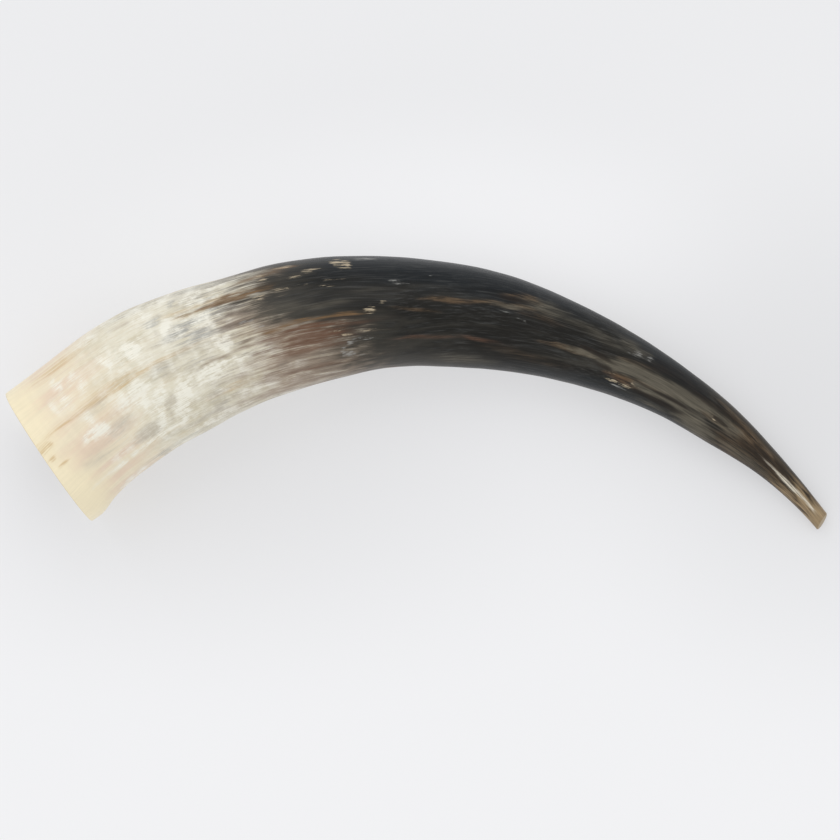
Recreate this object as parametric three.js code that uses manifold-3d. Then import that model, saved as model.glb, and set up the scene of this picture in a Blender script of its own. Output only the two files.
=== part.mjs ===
// A polished buffalo horn, sawn off at the skull end and at the tip, lying on its side.
// Millimetres and degrees, +Z up. The horn is one solid: a curved, tapering sheath that is
// hollow from the mouth to about half its length, where the bone core once sat, and solid beyond.
//
// It is turned on a lathe as a straight blank, bent along the horn's axis, and sawn at both ends.
// "Side" is an angle round the horn: 0 is the flank that faces up as it lies, 90 the outer curve,
// -90 the inner curve, and 180 the flank that lies on the table.

import * as THREE from "three";
import { mergeVertices } from "three/addons/utils/BufferGeometryUtils.js";
import Module from "manifold-3d";

// ---- driving dimensions ----

// The axis, from the middle of the mouth to the middle of the tip's cut.
const AXIS_LENGTH = 436;
const MOUTH_HEADING = 41; // how far the axis climbs where it leaves the mouth
const BENDS = [
  { length: 52, radius: 330 }, // the straighter skull end
  { length: 218, radius: 248 }, // the arch
  { length: 166, radius: 290 }, // the run to the tip
];
const BOW = 5; // the axis leans up by this at the mouth, and down by it at the tip

// The section: an oval that tapers to the tip, and flares a little at the mouth.
const BODY_RADIUS = 36;
const TIP_RADIUS = 4.4;
const TAPER_HOLD = 2.09; // higher keeps the body full for longer
const TAPER_FALL = 1.47; // higher brings it down more steeply
const FLARE = 1.9;
const FLARE_REACH = 15;
const FLATNESS = 0.05; // how much shallower than wide the mouth is; the tip is round

// Soft swells and dips left by growth, each on one side of the horn. The one on the belly,
// a little towards the outer curve from straight down, is what the horn rests on.
const OUTER = 90;
const INNER = -90;
const BELLY = 172;
const SWELLS = [
  { at: 57, reach: 22, lift: 1.6, side: OUTER },
  { at: 113, reach: 20, lift: -1.7, side: OUTER },
  { at: 240, reach: 26, lift: 1.0, side: OUTER },
  { at: 365, reach: 22, lift: 0.7, side: OUTER },
  { at: 0, reach: 10, lift: 1.5, side: INNER },
  { at: 80, reach: 15, lift: 0.9, side: INNER },
  { at: 189, reach: 26, lift: -1.5, side: INNER },
  { at: 365, reach: 22, lift: 1.3, side: INNER },
  { at: 190, reach: 30, lift: 0.8, side: BELLY },
];

// The hollow, which closes to a blunt point inside the horn.
const HOLLOW_DEPTH = 225;
const WALL_AT_MOUTH = 4;
const WALL_AT_END = 9;
const HOLLOW_BLUNTNESS = 6; // higher keeps the hollow wide until nearer its end

// The two saw cuts: which way each cut face looks, in the horn's own plane and out of it.
const MOUTH_CUT = { at: -2, heading: 33.5 + 180, climb: 2 };
const TIP_CUT = { at: AXIS_LENGTH, heading: -33, climb: 16 };
const SPARE = 12; // blank left beyond each cut, for the saw to take
const SAW_BLOCK = 120;

// How the horn leans as it rests on its lip, its belly and its tip.
const REST = { pitch: 4.89, roll: -2.15 };

// How finely the axis is stepped and the surfaces are faceted.
const AXIS_STEP = 1;
const SIDES = 48;
const SKIN_STATIONS = 64;
const HOLLOW_STATIONS = 22;

const radians = THREE.MathUtils.degToRad;

// ---- the horn's axis ----

// The axis's heading in its own plane at a distance along it, in radians.
function headingAt(along) {
  let heading = radians(MOUTH_HEADING);
  let start = 0;
  for (const [n, bend] of BENDS.entries()) {
    const first = n === 0;
    const last = n === BENDS.length - 1;
    const from = first ? -Infinity : start;
    const to = last ? Infinity : start + bend.length;
    const run = Math.min(along, to) - (first ? 0 : start);
    if (along > from) heading -= run / bend.radius;
    start += bend.length;
  }
  return heading;
}

// How far the axis climbs out of its plane at a distance along it, in radians.
function climbAt(along) {
  return radians(BOW) * (1 - (2 * along) / AXIS_LENGTH);
}

function directionAt(along) {
  const heading = headingAt(along);
  const climb = climbAt(along);
  return new THREE.Vector3(
    Math.cos(heading) * Math.cos(climb),
    Math.sin(heading) * Math.cos(climb),
    Math.sin(climb),
  );
}

// The axis, found by adding up its direction in short steps both ways from the mouth.
class HornAxis {
  constructor() {
    this.ahead = this.walk(AXIS_LENGTH + SPARE, AXIS_STEP);
    this.behind = this.walk(SPARE, -AXIS_STEP);
  }

  walk(distance, step) {
    const points = [new THREE.Vector3()];
    for (let n = 0; n * AXIS_STEP <= distance; n++) {
      const direction = directionAt((n + 0.5) * step);
      points.push(points[n].clone().addScaledVector(direction, step));
    }
    return points;
  }

  pointAt(along) {
    const points = along < 0 ? this.behind : this.ahead;
    const steps = Math.abs(along) / AXIS_STEP;
    const n = Math.floor(steps);
    return points[n].clone().lerp(points[n + 1], steps - n);
  }

  // Where the axis is, and the two directions across it: to the outer curve, and to the upper flank.
  frameAt(along) {
    const heading = headingAt(along);
    const outer = new THREE.Vector3(-Math.sin(heading), Math.cos(heading), 0);
    const upper = directionAt(along).cross(outer);
    return { centre: this.pointAt(along), outer, upper };
  }
}

// ---- the section ----

function skinRadiusAt(along) {
  const t = THREE.MathUtils.clamp(along / AXIS_LENGTH, 0, 1);
  const taper = Math.pow(1 - Math.pow(t, TAPER_HOLD), TAPER_FALL);
  const flare = FLARE * Math.exp(-Math.max(along, 0) / FLARE_REACH);
  return TIP_RADIUS + (BODY_RADIUS - TIP_RADIUS) * taper + flare;
}

function hollowRadiusAt(along) {
  const t = Math.max(along, 0) / HOLLOW_DEPTH;
  const wall = WALL_AT_MOUTH + (WALL_AT_END - WALL_AT_MOUTH) * t * t;
  const closing = Math.sqrt(Math.max(1 - Math.pow(t, HOLLOW_BLUNTNESS), 0));
  return (skinRadiusAt(along) - wall) * closing;
}

// How far the swells lift the skin at a place on it.
function swellAt(along, side) {
  let lift = 0;
  for (const swell of SWELLS) {
    const lobe = Math.max(Math.cos(side - radians(swell.side)), 0) ** 2;
    lift += swell.lift * lobe * Math.exp(-(((along - swell.at) / swell.reach) ** 2));
  }
  return lift;
}

// ---- making the solid ----

// The straight blank: up the hollow's wall from its end to the mouth, out across the lip,
// down the skin to the tip, and in to the axis.
function turnBlank() {
  const profile = [new THREE.Vector2(0, HOLLOW_DEPTH)];
  for (let n = 1; n <= HOLLOW_STATIONS; n++) {
    // Stations crowd towards the hollow's end, where it closes quickly.
    const t = Math.sin((Math.PI / 2) * (1 - n / HOLLOW_STATIONS));
    const along = HOLLOW_DEPTH * t - SPARE * (1 - t);
    profile.push(new THREE.Vector2(hollowRadiusAt(along), along));
  }
  const length = AXIS_LENGTH + 2 * SPARE;
  for (let n = 0; n <= SKIN_STATIONS; n++) {
    const along = (n / SKIN_STATIONS) * length - SPARE;
    profile.push(new THREE.Vector2(skinRadiusAt(along), along));
  }
  profile.push(new THREE.Vector2(0, AXIS_LENGTH + SPARE));
  return new THREE.LatheGeometry(profile.reverse(), SIDES);
}

// Moves each point of the blank to its place round the curved axis.
function bend(blank, axis) {
  const bent = blank.clone();
  const places = bent.getAttribute("position");
  for (let n = 0; n < places.count; n++) {
    const along = places.getY(n);
    const across = Math.hypot(places.getX(n), places.getZ(n));
    const side = Math.atan2(places.getX(n), places.getZ(n));
    const share = across / skinRadiusAt(along);
    const radius = across + swellAt(along, side) * share ** 2;
    const depth = 1 - FLATNESS * (1 - along / AXIS_LENGTH);
    const { centre, outer, upper } = axis.frameAt(along);
    centre.addScaledVector(outer, radius * Math.sin(side));
    centre.addScaledVector(upper, radius * Math.cos(side) * depth);
    places.setXYZ(n, centre.x, centre.y, centre.z);
  }
  return bent;
}

// Which way a saw cut's face looks.
function cutNormal(cut) {
  const heading = radians(cut.heading);
  const climb = radians(cut.climb);
  return new THREE.Vector3(
    Math.cos(heading) * Math.cos(climb),
    Math.sin(heading) * Math.cos(climb),
    Math.sin(climb),
  );
}

// The block of space beyond a cut, which the saw takes away.
function sawBlock(cut, axis) {
  const normal = cutNormal(cut);
  const block = new THREE.BoxGeometry(SAW_BLOCK, SAW_BLOCK, SAW_BLOCK);
  const turn = new THREE.Quaternion().setFromUnitVectors(new THREE.Vector3(0, 0, 1), normal);
  block.applyQuaternion(turn);
  const centre = axis.pointAt(cut.at).addScaledVector(normal, SAW_BLOCK / 2);
  return block.translate(centre.x, centre.y, centre.z);
}

const wasm = await Module();
wasm.setup();

function solidFrom(geometry) {
  const bare = geometry.clone();
  bare.deleteAttribute("normal");
  bare.deleteAttribute("uv");
  const merged = mergeVertices(bare, 1e-3);
  const vertProperties = new Float32Array(merged.attributes.position.array);
  const triVerts = new Uint32Array(merged.index.array);
  return new wasm.Manifold(new wasm.Mesh({ numProp: 3, vertProperties, triVerts }));
}

function geometryFrom(solid) {
  const { vertProperties, triVerts } = solid.getMesh();
  const geometry = new THREE.BufferGeometry();
  geometry.setAttribute("position", new THREE.BufferAttribute(vertProperties, 3));
  geometry.setIndex(new THREE.BufferAttribute(triVerts, 1));
  geometry.computeVertexNormals();
  return geometry;
}

function hornGeometry(axis) {
  const whole = solidFrom(bend(turnBlank(), axis));
  const mouthSawn = whole.subtract(solidFrom(sawBlock(MOUTH_CUT, axis)));
  return geometryFrom(mouthSawn.subtract(solidFrom(sawBlock(TIP_CUT, axis))));
}

function hornMaterial() {
  return new THREE.MeshStandardMaterial({ color: 0x82786c, roughness: 0.35, metalness: 0 });
}

// Lays the horn on the table, with the middle of its footprint at the origin.
function layDown(horn) {
  horn.rotation.set(radians(REST.roll), radians(REST.pitch), 0);
  horn.updateMatrix();
  const laid = horn.geometry.clone().applyMatrix4(horn.matrix);
  laid.computeBoundingBox();
  const { min, max } = laid.boundingBox;
  horn.position.set(-(min.x + max.x) / 2, -(min.y + max.y) / 2, -min.z);
  return horn;
}

const horn = new THREE.Mesh(hornGeometry(new HornAxis()), hornMaterial());
horn.name = "horn";

const part = new THREE.Group();
part.add(layDown(horn));

export default part;
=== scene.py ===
"""A polished buffalo horn, lying on its side on a pale table.

The horn grew as one piece. Its wall is drawn out ring by ring along a curved axis: over the skin
from the sawn tip to the sawn mouth, over the mouth's lip, and down the hollow. Its colour is laid
in marks of pigment, which the horn's fibres break up. A sliver at the tip and pale streaks along
the dark fibres are partly painted highlight and sheen.

Lengths are in metres, and in millimetres in the marks. "Along" is the distance from the mouth,
and "side" the angle round the horn in degrees: 0 is the flank that faces up as the horn lies,
90 the outer curve, -90 the inner curve, and 180 the flank on the table.
"""

import logging
import math
import random
from collections.abc import Sequence
from dataclasses import dataclass
from enum import Enum

import bmesh
import bpy
import numpy as np
from bmesh.types import BMEdge, BMesh, BMFace, BMVert
from bpy.types import ID, Material, Mesh, Node, NodeSocket, Object, World
from mathutils import Euler, Matrix, Vector

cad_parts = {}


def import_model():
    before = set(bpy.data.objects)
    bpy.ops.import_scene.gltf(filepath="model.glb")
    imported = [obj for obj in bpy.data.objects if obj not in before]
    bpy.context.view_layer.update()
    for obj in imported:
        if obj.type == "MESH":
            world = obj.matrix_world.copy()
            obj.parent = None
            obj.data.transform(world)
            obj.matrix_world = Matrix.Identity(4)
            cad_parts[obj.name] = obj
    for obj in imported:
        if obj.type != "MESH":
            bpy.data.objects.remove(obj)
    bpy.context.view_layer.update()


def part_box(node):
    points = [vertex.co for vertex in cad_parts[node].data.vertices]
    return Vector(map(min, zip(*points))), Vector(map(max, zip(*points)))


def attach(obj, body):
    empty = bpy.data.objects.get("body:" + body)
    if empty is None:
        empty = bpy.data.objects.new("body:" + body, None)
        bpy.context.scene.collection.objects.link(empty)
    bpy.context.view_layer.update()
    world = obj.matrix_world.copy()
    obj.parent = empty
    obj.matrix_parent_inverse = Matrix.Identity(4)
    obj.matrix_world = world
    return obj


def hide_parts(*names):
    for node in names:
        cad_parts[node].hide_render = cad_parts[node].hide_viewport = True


log = logging.getLogger("horn")

Numbers = np.ndarray
Span = tuple[float, float]
Triple = tuple[float, float, float]
Colour = Triple

UV_NAME = "horn"
OUTER = 90.0
INNER = -90.0
BELLY = 172.0


def add_object(name: str, data: ID) -> Object:
    """Adds an object to the scene, at the origin and unturned.

    Args:
        name: Its name.
        data: Its mesh, light or camera.

    Returns:
        The object.
    """
    added = bpy.data.objects.new(name, data)
    bpy.context.scene.collection.objects.link(added)
    return added


# ---- the horn's form ----


@dataclass(frozen=True)
class Bend:
    """A stretch of the axis with one radius."""

    length: float
    radius: float


@dataclass(frozen=True)
class Swell:
    """A soft swell or dip on one side of the horn."""

    at: float
    reach: float
    lift: float
    side: float


@dataclass(frozen=True)
class Cut:
    """A flat saw cut, by where it crosses the axis and which way its face looks."""

    at: float
    heading: float
    climb: float

    def normal(self) -> Numbers:
        """Returns the direction that the cut's face looks in."""
        return direction(np.radians(self.heading), np.radians(self.climb))


class Wall(Enum):
    """The two sides of the horn's wall."""

    SKIN = 0
    HOLLOW = 1


class Face(Enum):
    """The kinds of surface; the value is the number of the finish."""

    SKIN = 0
    SAWN = 1
    HOLLOW = 2


def direction(heading: Numbers, climb: Numbers) -> Numbers:
    """Turns a heading and a climb into a direction.

    Args:
        heading: Angle in the horn's plane, in radians.
        climb: Angle out of that plane, in radians.

    Returns:
        The unit vectors, one a row.
    """
    return np.stack(
        [np.cos(heading) * np.cos(climb), np.sin(heading) * np.cos(climb), np.sin(climb)], -1
    )


@dataclass(frozen=True)
class HornForm:
    """The size and the curve of the horn, with its mouth at the origin and its plane level."""

    axis_length: float = 0.436
    mouth_heading: float = 41.0
    bends: tuple[Bend, ...] = (Bend(0.052, 0.330), Bend(0.218, 0.248), Bend(0.166, 0.290))
    bow: float = 5.0
    body_radius: float = 0.036
    tip_radius: float = 0.0044
    taper_hold: float = 2.09
    taper_fall: float = 1.47
    flare: float = 0.0019
    flare_reach: float = 0.015
    flatness: float = 0.05
    swells: tuple[Swell, ...] = (
        Swell(0.057, 0.022, 0.0016, OUTER),
        Swell(0.113, 0.020, -0.0017, OUTER),
        Swell(0.240, 0.026, 0.0010, OUTER),
        Swell(0.365, 0.022, 0.0007, OUTER),
        Swell(0.000, 0.010, 0.0015, INNER),
        Swell(0.080, 0.015, 0.0009, INNER),
        Swell(0.189, 0.026, -0.0015, INNER),
        Swell(0.365, 0.022, 0.0013, INNER),
        Swell(0.190, 0.030, 0.0008, BELLY),
    )
    hollow_depth: float = 0.225
    wall_at_mouth: float = 0.004
    wall_at_end: float = 0.009
    hollow_bluntness: float = 6.0
    mouth_cut: Cut = Cut(-0.002, 213.5, 2.0)
    tip_cut: Cut = Cut(0.436, -33.0, 16.0)
    spare: float = 0.012
    pitch: float = 4.89
    roll: float = -2.15

    def heading(self, along: Numbers) -> Numbers:
        """Works out the axis's heading in the horn's plane.

        Args:
            along: Distances from the mouth.

        Returns:
            The heading at each place, in radians.
        """
        turned = np.zeros_like(along)
        start = 0.0
        for bend in self.bends:
            low = -np.inf if bend is self.bends[0] else 0.0
            high = np.inf if bend is self.bends[-1] else bend.length
            turned += np.clip(along - start, low, high) / bend.radius
            start += bend.length
        return np.radians(self.mouth_heading) - turned

    def climb(self, along: Numbers) -> Numbers:
        """Returns how far the axis climbs out of the horn's plane, in radians."""
        return np.radians(self.bow) * (1 - 2 * along / self.axis_length)

    def centre(self, along: Numbers, step: float = 0.001) -> Numbers:
        """Finds points on the axis by adding up its direction in short steps.

        Args:
            along: Distances from the mouth.
            step: The length of a step.

        Returns:
            The points, one a row.
        """
        stops = np.arange(-self.spare - step, self.axis_length + self.spare + step, step)
        middles = stops[:-1] + step / 2
        steps = direction(self.heading(middles), self.climb(middles)) * step
        walked = np.vstack([np.zeros(3), np.cumsum(steps, 0)])
        walked -= [np.interp(0.0, stops, walked[:, axis]) for axis in range(3)]
        return np.stack([np.interp(along, stops, walked[:, axis]) for axis in range(3)], -1)

    def skin_radius(self, along: Numbers) -> Numbers:
        """Works out the skin's distance from the axis, before the swells.

        Args:
            along: Distances from the mouth.

        Returns:
            The radius at each place.
        """
        share = np.clip(along / self.axis_length, 0, 1)
        taper = (1 - share**self.taper_hold) ** self.taper_fall
        flare = self.flare * np.exp(-np.maximum(along, 0) / self.flare_reach)
        return self.tip_radius + (self.body_radius - self.tip_radius) * taper + flare

    def hollow_radius(self, along: Numbers) -> Numbers:
        """Works out the hollow's distance from the axis, before the swells.

        Args:
            along: Distances from the mouth.

        Returns:
            The radius at each place.
        """
        share = np.clip(along, 0, self.hollow_depth) / self.hollow_depth
        wall = self.wall_at_mouth + (self.wall_at_end - self.wall_at_mouth) * share**2
        closing = np.sqrt(1 - share**self.hollow_bluntness)
        return (self.skin_radius(along) - wall) * closing

    def swelling(self, along: Numbers, side: Numbers) -> Numbers:
        """Adds up the swells.

        Args:
            along: Distances from the mouth.
            side: Angles round the horn, in degrees.

        Returns:
            How far they lift the skin at each place.
        """
        lift = np.zeros(np.broadcast(along, side).shape)
        for swell in self.swells:
            lobe = np.maximum(np.cos(np.radians(side - swell.side)), 0) ** 2
            lift += swell.lift * lobe * np.exp(-(((along - swell.at) / swell.reach) ** 2))
        return lift

    def place(self, along: Numbers, side: Numbers, wall: Wall, relief: Numbers = 0.0) -> Numbers:
        """Finds points on one side of the wall.

        Args:
            along: Distances from the mouth.
            side: Angles round the horn, in degrees.
            wall: Which side of the wall.
            relief: How far each point stands out from the smooth form.

        Returns:
            The points, one a row.
        """
        skin = self.skin_radius(along)
        across = skin if wall is Wall.SKIN else self.hollow_radius(along)
        radius = across + self.swelling(along, side) * (across / skin) ** 2 + relief
        depth = 1 - self.flatness * (1 - along / self.axis_length)
        heading = self.heading(along)
        outer = np.stack([-np.sin(heading), np.cos(heading), np.zeros_like(heading)], -1)
        upper = np.cross(direction(heading, self.climb(along)), outer)
        turn = np.radians(side)
        return (
            self.centre(along)
            + outer * (radius * np.sin(turn))[:, None]
            + upper * (radius * np.cos(turn) * depth)[:, None]
        )

    def meet(self, cut: Cut, side: Numbers, wall: Wall, halvings: int = 30) -> Numbers:
        """Finds where a saw cut crosses the wall on each side, by halving.

        Args:
            cut: The saw cut.
            side: Angles round the horn, in degrees.
            wall: Which side of the wall.
            halvings: How often the stretch that holds the crossing is halved.

        Returns:
            The distance along the horn at each side.
        """
        normal = cut.normal()
        through = self.centre(np.array([cut.at]))[0]
        outwards = np.sign(cut.at - self.axis_length / 2)
        near = np.full_like(side, cut.at - self.spare)
        far = np.full_like(side, cut.at + self.spare)
        for _ in range(halvings):
            middle = (near + far) / 2
            beyond = outwards * ((self.place(middle, side, wall) - through) @ normal) > 0
            far = np.where(beyond, middle, far)
            near = np.where(beyond, near, middle)
        return middle

    def rest(self) -> Matrix:
        """Returns the turn that lays the horn on its lip, its belly and its tip."""
        return Euler((math.radians(self.roll), math.radians(self.pitch), 0)).to_matrix().to_4x4()


@dataclass(frozen=True)
class Waves:
    """A gentle unevenness: soft waves that run round and along the horn."""

    seed: int
    count: int
    height: float
    lobes: tuple[int, int]
    wavelength: tuple[float, float]

    def at(self, along: Numbers, side: Numbers) -> Numbers:
        """Adds up the waves.

        Args:
            along: Distances from the mouth.
            side: Angles round the horn, in degrees.

        Returns:
            The sum at each place.
        """
        draw = random.Random(self.seed)
        total = np.zeros_like(along)
        for _ in range(self.count):
            lobes = draw.randint(*self.lobes)
            turns = draw.choice((-1, 1)) * math.tau / draw.uniform(*self.wavelength)
            total += np.cos(np.radians(side) * lobes + along * turns + draw.uniform(0, math.tau))
        return total * self.height / math.sqrt(self.count)


# ---- the pigments ----


class Pigment(Enum):
    """What a mark is coloured with; the value is the name of the mesh's attribute."""

    MIST = "mist"
    MILK = "milk"
    SLATE = "slate"
    STRAW = "straw"
    ROSE = "rose"
    UMBER = "umber"
    CHAR = "char"
    OCHRE = "ochre"
    BARK = "bark"
    TAUPE = "taupe"
    TAN = "tan"
    SOOT = "soot"
    FLECK = "fleck"
    FROST = "frost"
    IVORY_AND_HIGHLIGHT = "ivory"


@dataclass(frozen=True)
class Wash:
    """An even cover of one pigment that sets in along the horn, in millimetres."""

    pigment: Pigment
    strength: float
    start: float
    reach: float

    def cover(self, along: Numbers) -> Numbers:
        """Returns how strongly it covers each place."""
        return self.strength * np.clip((along - self.start) / self.reach, 0, 1)


@dataclass(frozen=True)
class Mark:
    """A soft-edged patch of one pigment, in millimetres and degrees.

    The length and the width are from the middle to where the pigment is half as strong. The
    lean, in degrees, turns its tip end towards the outer curve.
    """

    pigment: Pigment
    along: float
    side: float
    length: float
    width: float
    strength: float = 1.0
    lean: float = 0.0

    def cover(self, along: Numbers, side: Numbers, radius: Numbers) -> Numbers:
        """Works out how strongly the mark covers each place.

        Args:
            along: Distances from the mouth, in millimetres.
            side: Angles round the horn, in degrees.
            radius: The horn's radius at each place, in millimetres.

        Returns:
            The strength at each place, from 0 to 1.
        """
        forward = along - self.along
        round_by = np.radians((side - self.side + 180) % 360 - 180) * radius
        turn = math.radians(self.lean)
        down = (forward * math.cos(turn) + round_by * math.sin(turn)) / self.length
        across = (round_by * math.cos(turn) - forward * math.sin(turn)) / self.width
        steepness = 1.1
        return self.strength * 0.5 ** ((down**2 + across**2) ** steepness)


def marks(pigment: Pigment, *rows: tuple[float, ...]) -> list[Mark]:
    """Makes marks of one pigment.

    Args:
        pigment: What they are coloured with.
        *rows: Each mark's along, side, length, width and strength, and its lean if it has one.

    Returns:
        The marks.
    """
    return [Mark(pigment, *row) for row in rows]


def pale_end() -> list[Mark]:
    """Lists the marks of the pale end: stacked white clusters on a cream ground.

    Returns:
        The marks.
    """
    return [
        *marks(
            Pigment.MILK,
            (27, 40, 3.2, 6, 0.75),
            (37, 37, 2.8, 4.5, 0.6),
            (21, 22, 2.4, 5.5, 0.55),
            (27, 22, 3.4, 5.5, 0.65),
            (37, 22, 3.6, 6.5, 0.7),
            (53, 27, 3, 4, 0.85),
            (52, 35, 6, 5, 0.65),
            (64.5, 27, 3.6, 5, 1.2),
            (71, 33, 2, 2.6, 0.9),
            (83.5, 32, 1.8, 5, 1.0, -10),
            (88, 25, 2.2, 2.4, 0.8, 25),
            (96, 25, 9, 1.2, 0.95),
            (94, 19, 11, 1.0, 0.8),
            (100, 30, 9, 1.2, 1.0),
            (104, 23, 3.4, 6, 1.0),
            (31, -2, 4, 4.5, 0.7),
            (31, -13.5, 6, 3.2, 1.1),
            (57, -5, 13, 6, 0.85),
            (58, -14, 5, 2.2, 1.0),
            (63.5, -29, 4.2, 12, 1.45, -26),
            (76, -30, 5, 12, 1.3, -26),
            (105.5, -2, 4.2, 5.6, 1.2),
            (98, -18, 10, 3.0, 1.05),
            (96, -25, 7, 2, 1.05),
            (109, -17, 6, 2.6, 0.8),
            (109, -52, 7, 3.6, 0.85),
            (61, -19, 8, 4.6, 0.85),
            (112, -29, 6, 3.6, 0.95),
            (33, -41, 8, 2.6, 0.75),
            (52, -49, 32, 1.5, 0.95),
            (90, -67, 20, 4, 0.95),
            (118, -50, 9, 5, 0.85),
            (50, 62, 8, 7, 0.55),
            (75, 58, 4.5, 6, 1.05),
            (72, 67, 7, 4, 0.9),
            (83, 66, 7, 6, 0.7),
            (98, 52, 6, 4.5, 0.85),
            (103, 62, 11, 4, 0.85),
            (104, 46, 8, 2.0, 0.85),
            (116, 65, 10, 2.4, 1.0),
        ),
        *marks(
            Pigment.ROSE,
            (64, 55, 6, 1.8, 0.45),
        ),
        *marks(
            Pigment.MIST,
            (90, 54, 3.6, 5, 1.1),
            (82, 45, 3.6, 3, 0.9),
            (79, 36, 2, 5.5, 0.85),
            (92, 20, 15, 5, 1.15),
            (100, 58, 16, 12, 0.8),
            (98, 40, 14, 5, 0.8),
            (38, 3, 9, 5, 0.5),
            (74, -2, 7, 5, 1.0),
            (42, -20, 8, 4, 0.85),
            (52, -40, 9, 4.4, 1.1),
            (69.5, -31, 1.8, 8, 1.0, -26),
            (92, -46, 4.6, 9, 1.05, -14),
            (78, -57, 20, 2.4, 1.0),
            (88, -6, 7, 5, 0.6),
            (98, 9, 16, 5.4, 1.05),
            (30, -30, 14, 6, 0.55),
            (120, -18, 8, 3, 0.9),
        ),
        *marks(
            Pigment.SLATE,
            (88, 22, 9, 2.6, 0.85),
            (99, 27, 13, 3.4, 1.05),
            (98, 12, 12, 3.4, 0.75),
            (111, 29, 10, 3.4, 1.2),
            (79, 41, 4, 3.4, 0.85),
            (90, 55, 3.2, 4.4, 0.7),
            (74, 70, 20, 5, 0.5),
            (104, 72, 22, 5, 0.65),
            (112, 14, 10, 6, 0.8),
            (74, -1, 5, 4, 0.4),
            (60, -74, 34, 3, 0.5),
            (150, -80, 32, 5, 0.9),
        ),
        *marks(
            Pigment.STRAW,
            (62, 7, 46, 1.1, 1.25),
            (6.5, 2, 3.4, 2.4, 0.7),
            (5, -8, 3.2, 2.0, 0.6),
            (8, -17, 2.5, 1.0, 0.6),
            (50, 10.5, 18, 3.4, 0.55),
            (60, -9, 14, 1.0, 0.75),
            (100, -41, 12, 1.3, 1.3),
            (104, -37, 8, 0.9, 0.95),
            (34, 57, 16, 5, 0.6),
            (94, 41, 14, 1.4, 0.8),
            (112, 14, 9, 4, 0.75),
            (112, 42, 14, 2.4, 1.0),
            (102, 35, 16, 1.4, 1.1),
        ),
    ]


def turn_to_dark() -> list[Mark]:
    """Lists the marks where pale turns to dark, drawn out along the fibres.

    Returns:
        The marks.
    """
    return [
        *marks(
            Pigment.OCHRE,
            (101, 36, 15, 0.9, 1.0),
            (114, 36, 14, 1.3, 1.4),
            (118, 41, 15, 2.2, 0.8),
            (128, 57, 12, 2.4, 0.8),
            (140, 63, 9, 1.4, 0.8),
            (156, 0.5, 25, 0.9, 0.85),
            (136, -1.5, 13, 1.2, 0.8),
        ),
        *marks(
            Pigment.SOOT,
            (115, 35, 9, 0.8, 0.4),
        ),
        *marks(
            Pigment.UMBER,
            (102, -12, 12, 1.3, 0.7),
            (115, -9, 9, 1.3, 0.75),
            (148, -7, 26, 1.8, 1.0),
            (132, -9, 16, 2.4, 1.1),
            (145, -16, 20, 4.2, 1.2),
            (144, -25, 18, 3.0, 0.95),
            (150, -48, 22, 1.6, 0.6),
            (119, -22, 9, 1.2, 0.55),
            (121, -20, 6, 2.8, 0.95),
            (128, -30, 12, 1.4, 0.5),
        ),
        *marks(
            Pigment.ROSE,
            (140, 2, 26, 4, 1.0),
            (121, 14, 14, 7, 0.8),
            (148, -31, 36, 6, 1.1),
            (160, -45, 40, 8, 1.2),
            (165, -65, 52, 12, 1.2),
        ),
        *marks(
            Pigment.MILK,
            (133, -40, 3.4, 2.6, 1.1),
            (140, -39, 5, 2.6, 1.1),
            (125, -50, 6, 5, 1.0),
            (134, -58, 4.6, 3.4, 1.15),
            (155, -62, 9, 1.4, 1.0),
            (126, -15, 6, 3.0, 0.6),
        ),
        *marks(
            Pigment.FLECK,
            (165.5, 64, 3.8, 2.6, 1.3),
            (168.5, 56, 2.8, 3.4, 1.4),
            (153, 50.5, 4.4, 1.6, 0.85),
            (145, 46, 4.0, 1.2, 0.75),
            (131.5, 49, 4.0, 1.2, 1.15),
            (130, 57, 3, 1.4, 0.85),
            (142, 64, 6, 1.2, 0.9),
            (128, 30, 2.2, 1.1, 1.1),
            (142, 33.5, 7, 0.8, 0.8),
            (161.5, 35.5, 4.2, 0.7, 0.8),
            (160, 29, 5, 0.6, 0.75),
            (179, 2.2, 3.0, 1.7, 1.05),
            (184, 8, 2.0, 1.0, 0.8),
            (162, -13.7, 4.6, 0.8, 1.05),
            (166, -19, 2.2, 0.7, 1.1),
            (176, -17, 6, 0.7, 0.7),
        ),
        *marks(
            Pigment.FROST,
            (177, 68, 6, 1.6, 1.0),
            (191, 32.5, 3.6, 0.7, 0.85),
            (194, 29, 3.0, 0.7, 0.9),
            (174.5, -25, 5.5, 0.9, 0.95),
            (168, -28, 3.0, 1.0, 1.25),
            (163.5, -33, 1.3, 1.6, 1.1),
            (165, -40, 1.4, 2.6, 0.95),
            (172, -43, 5.5, 0.7, 0.75),
            (120.5, 10, 2.2, 0.9, 1.1),
            (126.5, 4.5, 2.2, 0.9, 1.1),
        ),
        *marks(
            Pigment.TAUPE,
            (158, 12, 16, 1.8, 0.5),
            (138, 15, 14, 4, 0.45),
            (176, 22, 12, 1.4, 0.4),
        ),
    ]


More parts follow.
